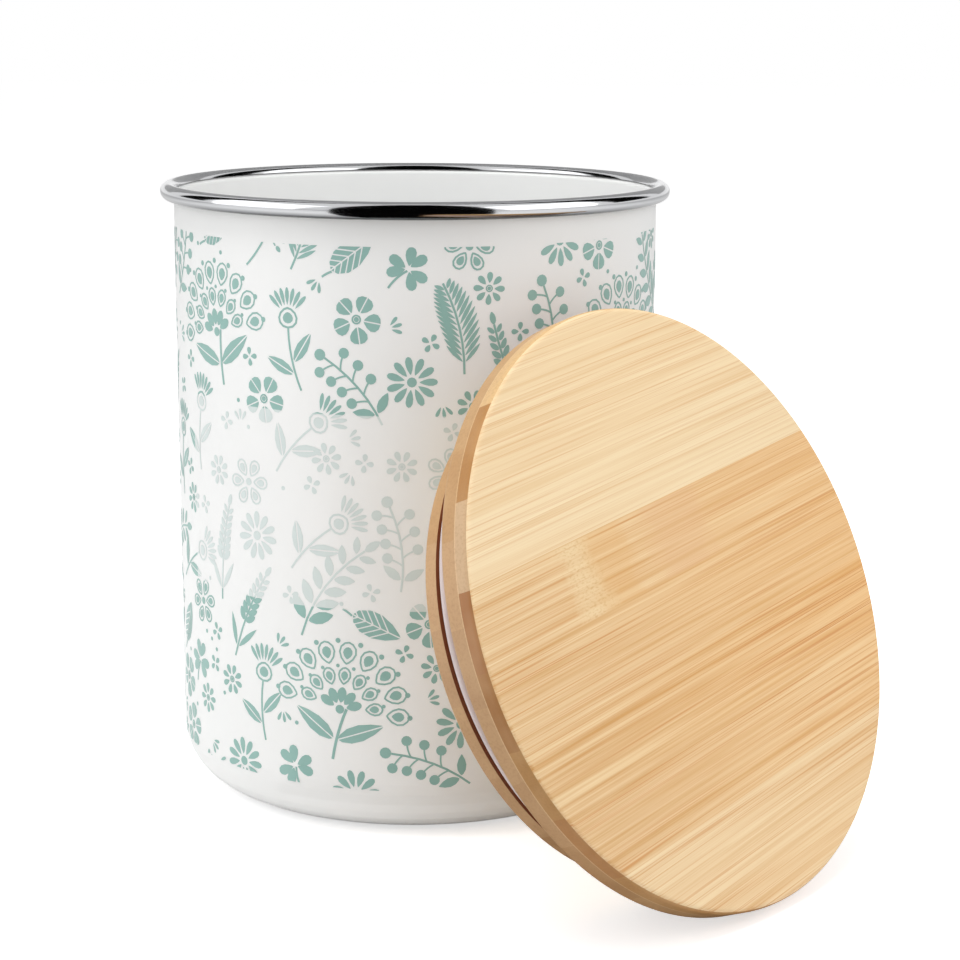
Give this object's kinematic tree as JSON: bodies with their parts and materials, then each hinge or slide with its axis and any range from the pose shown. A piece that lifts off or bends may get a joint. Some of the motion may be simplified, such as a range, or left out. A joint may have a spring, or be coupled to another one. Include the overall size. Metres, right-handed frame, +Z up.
{
  "type": "dishwasher tablet tin",
  "caption": "Round enamelled steel storage tin with a bright rim, with its turned bamboo lid and seal taken off and leaning against it.",
  "frame": {"origin": "centre of the tin's underside, in the plane it stands on", "axes": "+Z up along the tin's axis, out of its mouth; the front looks along -Y, +X to its right"},
  "size_m": [0.1535, 0.1767, 0.1326],
  "materials": {
    "enamel": "glossy white vitreous enamel on sheet steel, printed outside",
    "bright_steel": "polished stainless strip",
    "bamboo": "sanded laminated bamboo with a thin oil finish",
    "silicone": "translucent white moulded silicone"
  },
  "bodies": {
    "root": {"tin_body": "enamel", "rim_band": "bright_steel", "bamboo_lid": "bamboo", "seal_ring": "silicone"}
  },
  "joints": []
}
